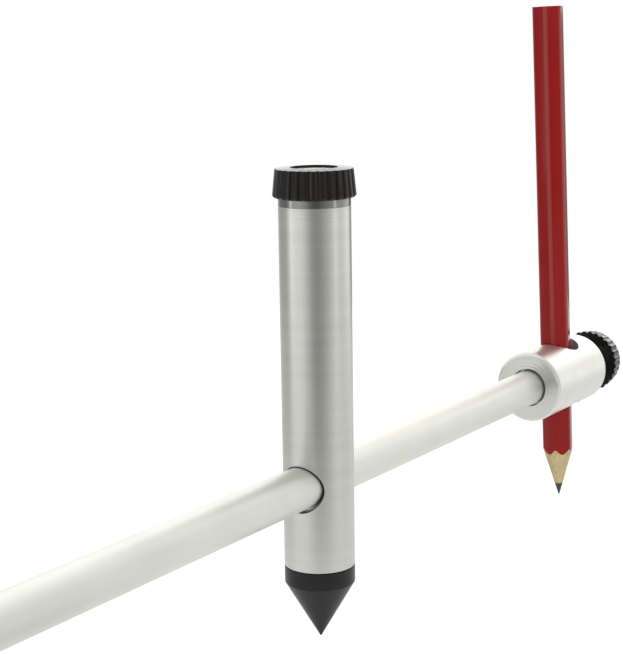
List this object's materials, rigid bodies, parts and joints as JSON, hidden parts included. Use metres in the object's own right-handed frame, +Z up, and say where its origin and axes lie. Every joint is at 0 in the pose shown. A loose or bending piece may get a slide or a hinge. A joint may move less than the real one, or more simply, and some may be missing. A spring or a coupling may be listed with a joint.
{
  "type": "beam compass",
  "caption": "Beam compass: a pivot post with a fluted clamp cap slides on a round beam that ends in a pencil holder with a clamp knob.",
  "frame": {"origin": "tip of the pivot point under the post", "axes": "+Z up the post's axis, +X along the beam towards the pencil, +Y across the beam"},
  "size_m": [0.4339, 0.0182, 0.133],
  "materials": {
    "post_aluminium": "finely turned satin",
    "beam_aluminium": "matt silver anodised",
    "holder_aluminium": "bright turned",
    "black_steel": "black oxide",
    "bush_steel": "turned",
    "zinc_steel": "zinc plated",
    "spring_steel": "drawn wire",
    "black_plastic": "moulded, semi-matt",
    "white_plastic": "smooth",
    "brass": "turned",
    "disc_aluminium": "bright disc",
    "pencil_paint": "glossy lacquer",
    "pencil_wood": "bare cedar",
    "graphite": "dull sheen"
  },
  "bodies": {
    "post": {"post_tube": "post_aluminium", "pivot_point": "black_steel", "top_bush": "bush_steel", "thrust_washer": "white_plastic", "release_spring": "spring_steel"},
    "cap": {"clamp_cap": "black_plastic", "cap_insert": "brass", "cap_disc": "disc_aluminium"},
    "eye": {"clamp_eye": "zinc_steel", "draw_stud": "zinc_steel"},
    "beam": {"beam_tube": "beam_aluminium", "beam_end_plug": "black_plastic"},
    "holder": {"holder_body": "holder_aluminium", "holder_set_screw": "black_steel"},
    "pad": {"pressure_pad": "brass"},
    "knob": {"clamp_knob": "black_plastic", "knob_stud": "zinc_steel", "knob_disc": "disc_aluminium"},
    "pencil": {"pencil_casing": "pencil_wood", "pencil_lacquer": "pencil_paint", "pencil_lead": "graphite"}
  },
  "joints": [
    {"name": "cap_turn", "type": "hinge", "parent": "post", "child": "cap", "pos_m": [0, 0, 0.0944], "axis": [0, 0, 1], "range_deg": [0, 216.1]},
    {"name": "clamp_lift", "type": "slide", "parent": "post", "child": "eye", "axis": [0, 0, 1], "range_m": [-0.0006, 0], "deforming": ["release_spring"]},
    {"name": "beam_slide", "type": "slide", "parent": "eye", "child": "beam", "axis": [1, 0, 0], "range_m": [-0.0935, 0.28]},
    {"name": "holder_turn", "type": "hinge", "parent": "beam", "child": "holder", "pos_m": [0.1063, 0, 0.0345], "axis": [1, 0, 0], "continuous": true},
    {"name": "pad_travel", "type": "slide", "parent": "holder", "child": "pad", "axis": [1, 0, 0], "range_m": [0, 0.003]},
    {"name": "knob_turn", "type": "hinge", "parent": "pad", "child": "knob", "pos_m": [0.1269, 0, 0.0345], "axis": [1, 0, 0], "range_deg": [0, 1080.5]},
    {"name": "pencil_slide", "type": "slide", "parent": "holder", "child": "pencil", "axis": [0, 0.0384, 0.9993], "range_m": [-0.08, 0.015]}
  ],
  "couplings": [
    {"joint": "cap_turn", "follows": "clamp_lift", "rad_per_m": -6283.2},
    {"joint": "knob_turn", "follows": "pad_travel", "rad_per_m": 6283.2}
  ]
}
